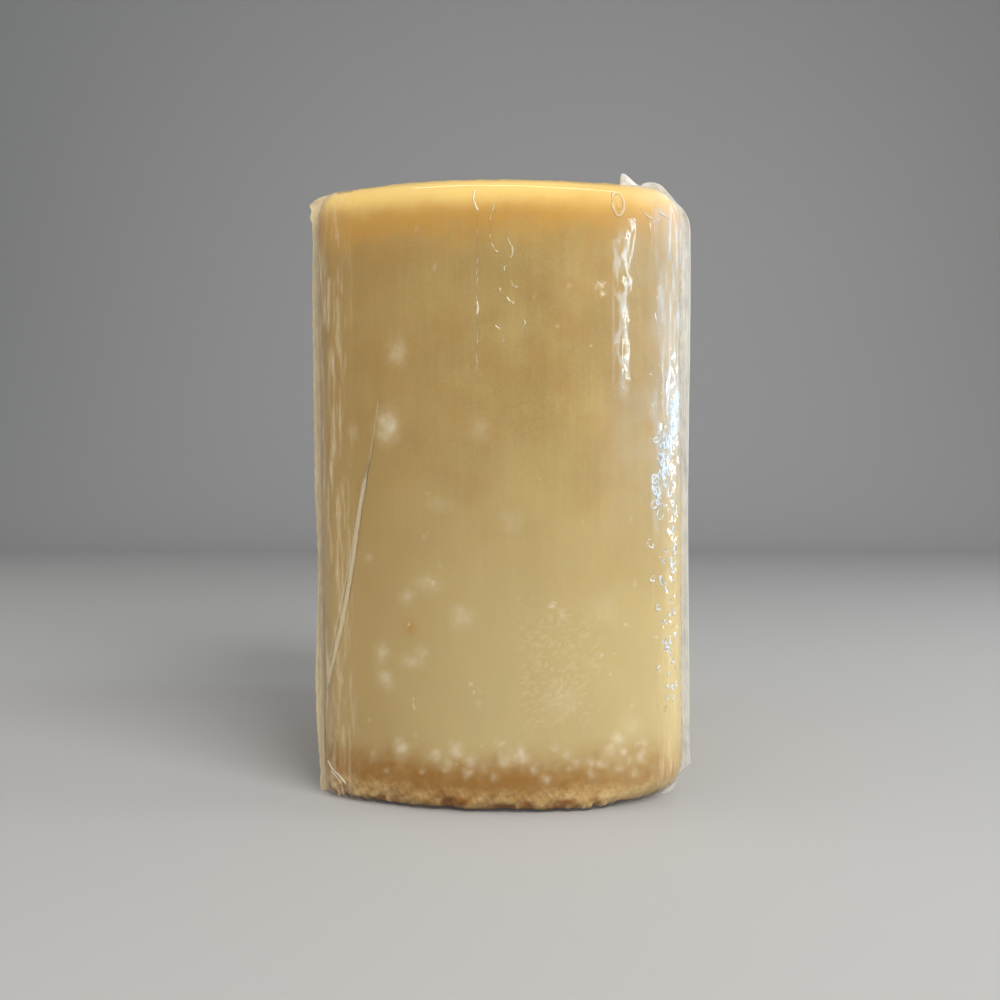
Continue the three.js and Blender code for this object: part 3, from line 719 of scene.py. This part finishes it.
# Sharp creases of the film, as thin ridges on the skin; their whitish haze is partly the whitening of doubled
# film and partly painted glints.
creases = {
    "step": 0.3,  # millimetres along a ridge
    "sunk": 0.25,  # how deep its underside lies in the skin
    "profile": (0.0, 0.3, 0.72, 0.94, 1.0, 0.94, 0.72, 0.3, 0.0),
    "unevenness": 0.8,  # of a ridge's height and width
    "sway": 0.45,  # how far it strays sideways
    "lines": (  # points (across, up), height, half width, whitish haze (the whitening of doubled film, brightened into painted glints), share of its length that is broken up
        (((-35.4, 92), (-38.1, 80.5), (-42.3, 57.7), (-46.6, 41.2), (-51.8, 27)), 0.22, 0.9, 0.34, 0.0),
        (((-31.9, 109.5), (-34, 98), (-37, 85)), 0.16, 0.5, 0.12, 0.3),
        (((-36.6, 88), (-40, 73), (-43.6, 57.7), (-48, 41.2), (-52.3, 28)), 0.14, 0.4, 0.2, 0.0),
        (((-51.6, 10.5), (-48.6, 8.4), (-46, 6.9), (-43.4, 4.6)), 0.22, 0.3, 0.5, 0.2),
        (((-50.6, 7.5), (-47.8, 7.2), (-45, 4.4)), 0.2, 0.25, 0.35, 0.3),
        (((-5.4, 162.1), (-5.9, 159.5), (-5.3, 157), (-4.5, 155.5)), 0.14, 0.36, 0.8, 0.3),
        (
            ((-4.6, 155), (-5.2, 151.4), (-5, 149), (-5.1, 138), (-5.1, 125.4), (-5.4, 112.7)),
            0.05, 0.2, 0.3, 0.8,
        ),
        (((-5.2, 133), (-4.8, 131), (-5.3, 129.2)), 0.14, 0.34, 0.8, 0.2),
        (((1, 159.6), (-0.6, 157), (-1.5, 153), (-1.6, 148.3)), 0.07, 0.28, 0.3, 0.9),
        (((-1.4, 147.6), (-0.4, 146), (0.6, 145.2)), 0.14, 0.3, 0.8, 0.5),
        (((2.2, 150.7), (4, 145.6), (3.4, 142.6), (2.2, 141.4), (1.4, 139)), 0.08, 0.28, 0.45, 1.0),
        (((0.8, 136.6), (1.6, 134.4), (2.9, 133.6), (4.4, 131.5)), 0.12, 0.3, 0.7, 0.9),
        (((-0.8, 127), (0.6, 125.6), (1.6, 124.2), (1.2, 121)), 0.12, 0.32, 0.7, 0.8),
        (((6.1, 129), (7.3, 127.3), (6.6, 125.4), (7.6, 124.3)), 0.1, 0.25, 0.5, 0.6),
        (((3.2, 138.5), (4.4, 136.6), (5.6, 136)), 0.1, 0.25, 0.5, 0.6),
        (
            (
                (30.2, 159.4), (30.3, 157.2), (31.5, 155), (33, 156.2),
                (33.4, 159), (32.6, 161.1), (30.9, 161.2), (30.1, 158.8),
            ),
            0.08, 0.42, 0.42, 0.0,
        ),
        (((31.4, 160.2), (31.7, 157.6), (32.4, 156.5)), 0.06, 0.25, 0.35, 0.3),
        (((34.6, 152), (36.2, 143), (37.4, 137)), 0.08, 0.16, 0.25, 0.2),
        (((45.9, 148.2), (47.2, 143), (48.6, 137), (49.6, 133)), 0.2, 0.2, 0.9, 0.05),
        (((49.6, 133), (49.9, 126), (49.6, 113)), 0.2, 0.2, 0.6, 0.2),
        (((42.2, 126), (43.6, 119), (45, 113)), 0.14, 0.18, 0.5, 0.6),
        (((45, 113), (46.6, 107), (48.6, 100.5)), 0.2, 0.2, 0.9, 0.05),
        (((37.5, 157.6), (39.4, 155.6), (41.8, 154.4), (43.6, 154.9)), 0.16, 0.28, 0.7, 0.5),
        (((42, 158.4), (43.2, 156.4), (45.4, 155.3), (46.4, 153)), 0.18, 0.34, 0.8, 0.4),
        (((35.4, 154.6), (36.4, 153.4)), 0.16, 0.3, 0.8, 0.0),
        (((22, 41), (25.2, 41), (27.4, 41.6), (31.4, 42.4)), 0.1, 0.25, 0.35, 0.8),
    ),
    "loops": (  # small closed wrinkles of the right side: across, up, wide, tall, turn in degrees; their whiteness is painted glints of the window
        (46.6, 84.6, 1.4, 5.2, 16), (48.6, 79.8, 1.6, 4.6, 8), (41.4, 86.6, 1.2, 3.4, -4),
        (41.6, 80.6, 1.6, 2.4, 30), (43.4, 78.6, 1.8, 4.2, 12), (40.4, 70.2, 1.1, 2.6, -24),
        (47.8, 73.6, 0.9, 2.0, 0), (48.6, 68.4, 1.0, 3.0, 6), (47.6, 63.4, 0.9, 2.6, 4),
        (45.4, 89, 1.4, 2.0, 0), (43.2, 99.4, 0.9, 1.2, 20), (41.8, 97.2, 1.1, 0.9, 0),
        (44.3, 65.4, 0.8, 1.0, 0), (41.2, 61, 1.2, 1.6, 40), (43.6, 60.4, 0.9, 2.6, -10),
        (45.2, 58.4, 0.9, 1.8, 10), (42.6, 53.4, 0.8, 1.4, 0), (44.6, 44.6, 1.3, 1.6, 0),
        (48.2, 52, 0.8, 1.6, 0), (47.4, 39, 0.7, 1.2, 0),
    ),
    "loopRelief": (0.22, 0.37, 1.0),  # height, half width, and haze, which paints the window's glints on the loops and swarms
    "swarms": (  # crowded short wrinkles, strewn within a reach of a line
        {
            "line": ((49.4, 110), (48.6, 103), (46.4, 98), (44.6, 91.5), (42.6, 84)),
            "count": 64,
            "reach": 2.2,
            "wide": (0.3, 1.0),
            "tall": (1.2, 4.2),
        },
        {
            "line": ((47.5, 68), (45.6, 56), (46.4, 42), (47.6, 28)),
            "count": 30,
            "reach": 3.2,
            "wide": (0.3, 0.8),
            "tall": (0.5, 1.7),
        },
    ),
    "seed": 51,
}


finePlan = planOutline({**film["spacing"], "left": 0.4, "heel": 0.4, "right": 0.4})


def placeOnFilm(path, rise):
    # places above the film for points across and up, and a height above it for each
    order = np.argsort(finePlan["along"])
    along = finePlan["along"][order]
    spot = {key: np.interp(path[:, 0], along, finePlan[key][order]) for key in ("x", "y", "nx", "ny")}
    foot, shoulder = rimInset(form["foot"], spot), rimInset(form["shoulder"], spot)
    up = path[:, 1]
    below = np.clip(1 - up / (foot * form["foot"]["rise"]), 0, 1)
    above = np.clip((up - height) / (shoulder * form["shoulder"]["rise"]) + 1, 0, 1)
    inset = foot * (1 - np.sqrt(1 - below**2)) + shoulder * (1 - np.sqrt(1 - above**2))
    depth = film["gap"] + slowWaves(spot["x"], spot["y"], up) - rise
    return layOut(spot, (inset, up, np.ones_like(up), 0.0), depth)


def ridgeGrid(points, tall, halfWidth, haze, broken, seed):
    # one ridge as a closed grid, from end to end, with its whitish haze
    path = smoothPath(points, 40)
    length = np.concatenate([[0], np.cumsum(np.linalg.norm(np.diff(path, axis=0), axis=1))])
    at = np.linspace(0, length[-1], max(6, round(length[-1] / creases["step"])))
    path = np.stack([np.interp(at, length, path[:, axis]) for axis in (0, 1)], 1)
    line = np.stack([at, 0 * at, 0 * at], 1)
    loose = 0.2 + 0.8 * broken
    swell = 1 + 2 * creases["unevenness"] * loose * noiseAt(line, 1.6, 3, seed)
    gaps = 1 - broken * smoothstep(noiseAt(line, 2.4, 2, seed + 1), -0.2, 0.1)
    fade = between(at / length[-1], 0, 0.12, 0.88, 1) * np.clip(swell, 0.3, 1.8) * gaps
    ahead = np.gradient(path, axis=0)
    sideways = np.stack([ahead[:, 1], -ahead[:, 0]], 1)
    sideways /= np.maximum(np.linalg.norm(ahead, axis=1), 1e-9)[:, None]
    path = path + sideways * (creases["sway"] * loose * noiseAt(line, 1.3, 2, seed + 2))[:, None]
    profile = np.array(creases["profile"])
    offsets = np.concatenate([np.linspace(-1, 1, len(profile)), [0.5, -0.5]])
    raised = np.concatenate([profile, [-0.2, -0.2]])
    columns = []
    for offset, share in zip(offsets, raised):
        wide = offset * halfWidth * (0.35 + 0.65 * fade)
        rise = share * (tall * fade + creases["sunk"]) - creases["sunk"]
        columns.append(placeOnFilm(path + sideways * wide[:, None], rise))
    whitish = haze * np.clip(1.5 * fade, 0, 1)[:, None] ** 2 * np.clip(1.4 * raised, 0, 1)[None, :]
    # bluish on the right: the painted tint of the window's reflection
    paintedWindowTint = smoothstep(path[:, :1], 36, 44) + 0 * whitish
    fields = {"haze": closeEnds(np.clip(whitish, 0, 0.95)), "paintedWindowTint": closeEnds(paintedWindowTint)}
    return closeEnds(np.stack(columns, 1)), fields


def loopPoints(across, up, wide, tall, turn):
    # a small oval that doesn't quite close
    around = np.linspace(0.3, 2 * pi + 0.1, 9)
    turned = radians(turn)
    side, rise = wide / 2 * np.cos(around), tall / 2 * np.sin(around)
    across = across + side * cos(turned) + rise * sin(turned)
    return np.stack([across, up + rise * cos(turned) - side * sin(turned)], 1)


def swarmLoops():
    # places and sizes of the crowded wrinkles
    draw = np.random.default_rng(creases["seed"])
    loops = []
    for swarm in creases["swarms"]:
        path = smoothPath(swarm["line"])
        for _ in range(swarm["count"]):
            middle = path[draw.integers(len(path))] + draw.normal(0, swarm["reach"] / 2, 2)
            size = (draw.uniform(*swarm["wide"]), draw.uniform(*swarm["tall"]))
            loops.append((*middle, *size, draw.uniform(-14, 20)))
    return loops


def creasesPiece():
    grids = [ridgeGrid(*line, creases["seed"] + 5 * number) for number, line in enumerate(creases["lines"])]
    tall, halfWidth, haze = creases["loopRelief"]
    for number, loop in enumerate([*creases["loops"], *swarmLoops()]):
        grids.append(ridgeGrid(loopPoints(*loop), tall, halfWidth, haze, 0.5, 7 * number))
    return gridPiece("film_creases", grids)


dress(creasesPiece(), filmMaterial("creasedFilm", 0.16, linear(252, 240, 214), 1.3), "clear_film")
print("creases made")

# Strips of film: the two side seams with their ears, between two lines of points across and up, as seen from
# the front.
rightSeam = {
    "outer": (
        (44.6, 0.3), (47.0, 1.8), (47.9, 4.2), (48.6, 6.0), (49.8, 7.4), (51.3, 8.5), (51.8, 9.0), (51.6, 11),
        (51.5, 16), (51.4, 34), (51.2, 55), (51.1, 85), (51.5, 118), (51.7, 136), (51.7, 149), (51.5, 156),
        (50.2, 159.3), (47.4, 162.8), (44.4, 166.2), (42.4, 167.4), (40.9, 167.9), (39.2, 167.7),
        (38.1, 167.2), (36.5, 168.1), (34.9, 169.2), (33.4, 169.9), (32.7, 169.2), (32.6, 167),
    ),
    "inner": (
        (43.2, 1.0), (44.4, 2.1), (45.4, 3.4), (46.2, 5.0), (47.0, 6.6), (47.5, 8.0), (47.7, 9.0), (47.9, 11),
        (48, 16), (48, 34), (48, 55), (48, 85), (48, 118), (48, 136), (47.9, 149), (47.4, 154.5),
        (46.4, 157.5), (44.8, 160), (42.5, 162.3), (41.2, 163), (40, 163.5), (38.7, 164), (37.8, 164.2),
        (36.7, 164.4), (35.5, 164.5), (34.2, 164.6), (33.3, 164.7), (32.6, 164.8),
    ),
    "steps": 14,
    "shares": (0, 0.16, 0.24, 0.3, 0.36, 0.44, 0.52, 0.6, 0.68, 0.76, 0.84, 0.9, 0.95, 0.985, 1),
    "halfThickness": (0, 0.4, 0.34, 0.2, 0.3, 0.28, 0.2, 0.24, 0.26, 0.2, 0.18, 0.24, 0.3, 0.22, 0),
    "corner": rightCorner["centre"],
    "forward": 0.25,  # how far it comes forward for each millimetre across, over the top
    "ripple": 0.3,
    "earRipple": 1.5,
    "haze": (0.64, 0.3, 0.3),  # of the band, added at its outer edge, and added in the ear
    "dots": 0.75,  # the dark dashes along its root
    "seed": 21,
}
leftSeam = {
    "outer": (
        (-46.3, 0.15), (-49, 0.2), (-51.2, 0.5), (-51.3, 5), (-51.6, 11), (-52.3, 24), (-52.4, 34),
        (-51.7, 52), (-51.5, 65), (-52.1, 82), (-52.2, 96), (-52.3, 110), (-52.4, 126), (-52.4, 140),
        (-52.2, 151.6), (-52.3, 158), (-53, 160.3), (-52.5, 162), (-53.2, 163.5), (-51.9, 164.4),
        (-50.1, 165.4), (-48.5, 166.0), (-46.7, 166.4), (-45.2, 166.2),
    ),
    "inner": (
        (-46.3, 0.8), (-47.6, 1.2), (-48.3, 2.2), (-48.8, 5), (-49.2, 11), (-49.3, 24), (-49.3, 34),
        (-49.2, 52), (-49.2, 65), (-49.3, 82), (-49.3, 96), (-49.3, 110), (-49.3, 126), (-49.3, 140),
        (-49.3, 151.6), (-49, 157), (-48.6, 159), (-48.3, 160.4), (-47.8, 161.7), (-47.1, 162.8),
        (-46.4, 163.6), (-45.8, 164.2), (-45.2, 164.6), (-44.6, 164.8),
    ),
    "steps": 16,
    "shares": (0, 0.2, 0.35, 0.5, 0.6, 0.7, 0.8, 0.88, 0.94, 0.98, 1),
    "halfThickness": (0, 0.4, 0.36, 0.28, 0.2, 0.24, 0.22, 0.2, 0.22, 0.16, 0),
    "corner": leftCorner["centre"],
    "forward": 0.2,
    "ripple": 0.35,
    "earRipple": 0.9,
    "bites": {"size": 0.22, "pitch": 3.4, "drift": 0.31},  # of the bitten edge
    "haze": (0.8, 0.15, 0.1),
    "dots": 0.0,
    "seed": 31,
}


def stripGrid(values):
    # a seam as a closed grid, with its haze and its dark dashes
    outer, inner = (smoothPath(values[line], values["steps"]) for line in ("outer", "inner"))
    thick = np.array(values["halfThickness"])
    loop = np.concatenate([values["shares"], values["shares"][-2:0:-1]])
    sides = np.concatenate([-thick, thick[-2:0:-1]])
    path = np.concatenate([[0], np.cumsum(np.linalg.norm(np.diff(outer, axis=0), axis=1))])
    if "bites" in values:
        size, pitch, drift = values["bites"].values()
        bite = size * (1 - np.abs(np.sin(path / pitch * pi + np.sin(path * drift))))
        outer = outer - (outer - inner) * (bite / np.linalg.norm(outer - inner, axis=1))[:, None]
    flat = inner[:, None] + (outer - inner)[:, None] * loop[None, :, None]
    inward = np.clip(abs(values["corner"][0]) - np.abs(flat[..., 0]), 0, None)
    spread = np.stack([path[:, None] + 0 * loop, loop + 0 * path[:, None], 0 * inward], 2)
    ripples = noiseAt(spread, (7, 0.9, 1), 2, values["seed"])
    inEar = smoothstep(flat[..., 1], height - 14, height - 4)
    reach = lerp(values["ripple"], values["earRipple"], inEar)
    y = values["corner"][1] - values["forward"] * inward + ripples * reach * loop + sides
    places = np.stack([flat[..., 0], y, np.maximum(flat[..., 1], 0.05)], 2)
    band, edge, ear = values["haze"]
    lines = noiseAt(spread, (22, 0.11, 1), 2, values["seed"] + 1)
    patches = noiseAt(spread, (4, 0.5, 1), 3, values["seed"] + 2)
    haze = band + edge * smoothstep(loop, 0.88, 0.96) + ear * inEar + 0.35 * lines + 0.25 * patches
    dashes = smoothstep(np.sin(path[:, None] * 2 * pi / 2.2 + 2 * patches), -0.2, 0.5)
    dark = values["dots"] * between(loop, 0.2, 0.3, 0.3, 0.42) * dashes * (1 - inEar)
    return closeEnds(places), {"haze": closeEnds(np.clip(haze, 0.1, 0.95)), "dark": closeEnds(dark)}


def filmCrinkle():
    # a shader node group: the fine crinkles of doubled film, as a normal
    group = bpy.data.node_groups.new("filmCrinkle", "ShaderNodeTree")
    for name, start in (("Scale", 600.0), ("Strength", 0.2)):
        group.interface.new_socket(name, in_out="INPUT", socket_type="NodeSocketFloat").default_value = start
    group.interface.new_socket("Normal", in_out="OUTPUT", socket_type="NodeSocketVector")
    given = addNode(group, "NodeGroupInput").outputs
    place = addNode(group, "ShaderNodeTexCoord").outputs["Object"]
    stretched = addNode(group, "ShaderNodeMapping", {"Vector": place, "Scale": (1, 1, 0.35)}).outputs[0]
    crinkle = noiseNode(group, stretched, given["Scale"], 2, 0.5)
    inputs = {"Strength": given["Strength"], "Distance": 0.0005, "Height": crinkle}
    addNode(group, "NodeGroupOutput", {"Normal": addNode(group, "ShaderNodeBump", inputs).outputs[0]})
    return group


crinkles = filmCrinkle()


def doubledMaterial(name, milk, dark, scale):
    # two layers of film, milky and crinkled
    material, tree = newMaterial(name)
    inputs = {"Scale": scale, "Strength": 0.25}
    crinkled = addNode(tree, "ShaderNodeGroup", inputs, node_tree=crinkles)
    colour = mixColour(tree, attribute(tree, "dark"), milk, dark)
    shader = clearShader(tree, attribute(tree, "haze"), 0.12, colour, crinkled.outputs["Normal"])
    addNode(tree, "ShaderNodeOutputMaterial", {"Surface": shader})
    return material


greyFilm = doubledMaterial("doubledFilm", linear(226, 222, 214), linear(120, 112, 100), 520)
warmFilm = doubledMaterial("warmDoubledFilm", linear(226, 206, 168), linear(120, 100, 70), 520)
dress(gridPiece("seam_right", [stripGrid(rightSeam)]), greyFilm, "clear_film")
dress(gridPiece("seam_left", [stripGrid(leftSeam)]), warmFilm, "clear_film")
print("seams made")

# The mouth of the film, pressed flat and laid back over the top.
mouth = {
    "turn": radians(20.2),
    "behindHeel": 14.0,  # where the mouth is folded over, behind the heel's face
    "depth": 23.0,
    "wave": 0.9,
    "waves": 2.5,
    "phase": 0.7,
    "columns": 240,
    "rows": 46,
    "thickness": 0.7,
    "fold": 0.35,  # relief of its creases
    "band": (0.62, 0.88),  # the pressed seal, as shares of the depth
    "ribs": 5,
    "ribRelief": 0.1,
    "seed": 41,
}


def mouthGrid():
    # two layers of film: the loop runs back along the lower one and forward along the upper one
    across = np.linspace(0, 1, mouth["columns"])
    deep = np.linspace(0, 1, mouth["rows"])
    loop = np.concatenate([deep, deep[-2:0:-1]])
    upper = np.concatenate([0 * deep, 1 + 0 * deep[2:]])
    turn = lerp(-mouth["turn"], mouth["turn"], across)[None, :]
    waves = np.sin(across * mouth["waves"] * 2 * pi + mouth["phase"])
    swing = lerp(0.3, 1.0, loop)[:, None] * mouth["wave"] * waves[None, :]
    reach = radius - mouth["behindHeel"] - loop[:, None] * mouth["depth"] - swing
    x, y = reach * np.sin(turn), radius - reach * np.cos(turn)
    folds = noiseAt(np.stack([x, y, 0 * x], 2), (5, 12, 1), 3, mouth["seed"])
    start, end = mouth["band"]
    band = between(loop, start - 0.04, start, end, end + 0.04)
    ribs = np.abs(np.sin((loop - start) / (end - start) * pi * mouth["ribs"])) * band
    swell = np.sin(np.clip(loop / start, 0, 1) * pi)
    gap = mouth["thickness"] * (0.35 + 0.65 * swell) * upper
    relief = mouth["fold"] * folds * (1 - 0.8 * band[:, None]) + (mouth["ribRelief"] * ribs)[:, None]
    ground = height + form["topDome"] * 0.85 + 0.25
    z = ground + gap[:, None] + relief * lerp(0.5, 1, upper)[:, None]
    places = closeEnds(np.stack([x, y, z], 2).transpose(1, 0, 2))
    creased = 0.2 * np.exp(-((folds / 0.07) ** 2)).T
    haze = (0.1 + 0.18 * band + 0.1 * ribs)[None, :] + creased * (1 - band)[None, :]
    haze = closeEnds(np.clip(haze, 0, 0.9))
    return places, {"haze": haze, "dark": 0 * haze}


dress(gridPiece("film_mouth", [mouthGrid()]), greyFilm, "clear_film")
print("mouth made")

# The stage: a pale floor that rises behind, a soft studio light, and the camera.
stage = {"reach": 2.2, "behind": 1.3, "rise": 1.6, "bend": 0.5, "colour": (0.56, 0.55, 0.54, 1)}


def floorPiece():
    mesh = bmesh.new()
    bmesh.ops.create_grid(mesh, x_segments=1, y_segments=1, size=stage["reach"])
    for vertex in mesh.verts:
        if vertex.co.y > 0:
            vertex.co.y = stage["behind"]
    backEdge = [edge for edge in mesh.edges if all(vertex.co.y > 0 for vertex in edge.verts)]
    raised = bmesh.ops.extrude_edge_only(mesh, edges=backEdge)["geom"]
    raisedVerts = [part for part in raised if isinstance(part, bmesh.types.BMVert)]
    bmesh.ops.translate(mesh, vec=(0, 0, stage["rise"]), verts=raisedVerts)
    fold = [edge for edge in mesh.edges if all(v.co.y > 1 and v.co.z < 0.01 for v in edge.verts)]
    bmesh.ops.bevel(
        mesh, geom=fold, offset=stage["bend"], segments=24, profile=0.5, affect="EDGES", material=-1,
    )
    data = bpy.data.meshes.new("floor")
    mesh.to_mesh(data)
    mesh.free()
    data.shade_smooth()
    floor = bpy.data.objects.new("floor", data)
    bpy.context.scene.collection.objects.link(floor)
    material, tree = newMaterial("paleFloor")
    shader = addNode(tree, "ShaderNodeBsdfDiffuse", {"Color": stage["colour"]})
    addNode(tree, "ShaderNodeOutputMaterial", {"Surface": shader.outputs[0]})
    data.materials.append(material)
    floor.visible_glossy = False  # so that the film doesn't mirror it


# Each light's turn to the right of straight ahead, rise, distance, width, height, watts, colour, and whether
# gloss mirrors it.
lights = {
    "key": (41, 34, 0.95, 0.6, 0.6, 7.0, (1.0, 0.99, 0.96), False),
    "fill": (-35, 6, 1.1, 0.8, 0.8, 1.5, (1.0, 0.99, 0.97), False),
    "left": (-84, 8, 1.0, 0.6, 0.6, 2.4, (1.0, 0.98, 0.94), False),
    "window": (88, 4.4, 0.9, 0.14, 0.14, 2.8, (0.8, 0.92, 1.0), True),
    "strip": (35, 14.0, 0.95, 0.01, 0.2, 0.17, (0.62, 0.86, 1.0), True),
    "crest": (4, 88, 0.8, 0.5, 0.03, 0.25, (1.0, 0.99, 0.96), True),
    "above": (10, 78, 0.8, 0.5, 0.5, 0.75, (1.0, 0.98, 0.94), False),
}


def addLights():
    target = Vector((0, 0, 0.085))
    for name, (turn, rise, distance, wide, tall, watts, colour, mirrored) in lights.items():
        data = bpy.data.lights.new(name, "AREA")
        data.shape = "RECTANGLE"
        data.size, data.size_y = wide, tall
        data.energy, data.color = watts, colour
        light = bpy.data.objects.new(name, data)
        turned, risen = radians(turn), radians(rise)
        towards = Vector((sin(turned) * cos(risen), -cos(turned) * cos(risen), sin(risen)))
        light.location = target + towards * distance
        light.rotation_euler = towards.to_track_quat("Z", "Y").to_euler()
        light.visible_glossy = mirrored
        bpy.context.scene.collection.objects.link(light)
    world = bpy.data.worlds.new("studio")
    world.use_nodes = True
    background = world.node_tree.nodes["Background"].inputs
    background["Color"].default_value = (0.9, 0.95, 1.0, 1)
    background["Strength"].default_value = 0.25
    bpy.context.scene.world = world


camera = {  # millimetres and degrees; turned from straight ahead, and tipped down
    "distance": 217.6,
    "aimHeight": 83.0,
    "turn": 3.86,
    "tip": 0.84,
    "aside": -0.18,  # how far the view's middle is turned and tipped from the aim
    "raised": 0.30,
    "roll": -0.23,
    "focalPixels": 847.7,
    "imagePixels": 1000,
}


def lookingAlong(turn, tip):
    turn, tip = radians(turn), radians(tip)
    return Vector((-sin(turn) * cos(tip), cos(turn) * cos(tip), -sin(tip)))


def addCamera():
    data = bpy.data.cameras.new("camera")
    data.sensor_width = 36
    data.lens = data.sensor_width * camera["focalPixels"] / camera["imagePixels"]
    data.clip_start, data.clip_end = 0.01, 20
    seen = bpy.data.objects.new("camera", data)
    aim = Vector((0, 0, camera["aimHeight"])) + Vector(toFrame)
    place = aim - lookingAlong(camera["turn"], camera["tip"]) * camera["distance"]
    forward = lookingAlong(camera["turn"] + camera["aside"], camera["tip"] + camera["raised"])
    right = forward.cross(Vector((0, 0, 1))).normalized()
    upward = right.cross(forward)
    roll = radians(camera["roll"])
    rolledRight = right * cos(roll) + upward * sin(roll)
    rolledUp = upward * cos(roll) - right * sin(roll)
    turned = Matrix((rolledRight, rolledUp, -forward)).transposed().to_4x4()
    seen.matrix_world = Matrix.Translation(place * millimetre) @ turned
    bpy.context.scene.collection.objects.link(seen)
    bpy.context.scene.camera = seen


floorPiece()
addLights()
addCamera()
bpy.context.scene.view_settings.view_transform = "Standard"
print("stage made")
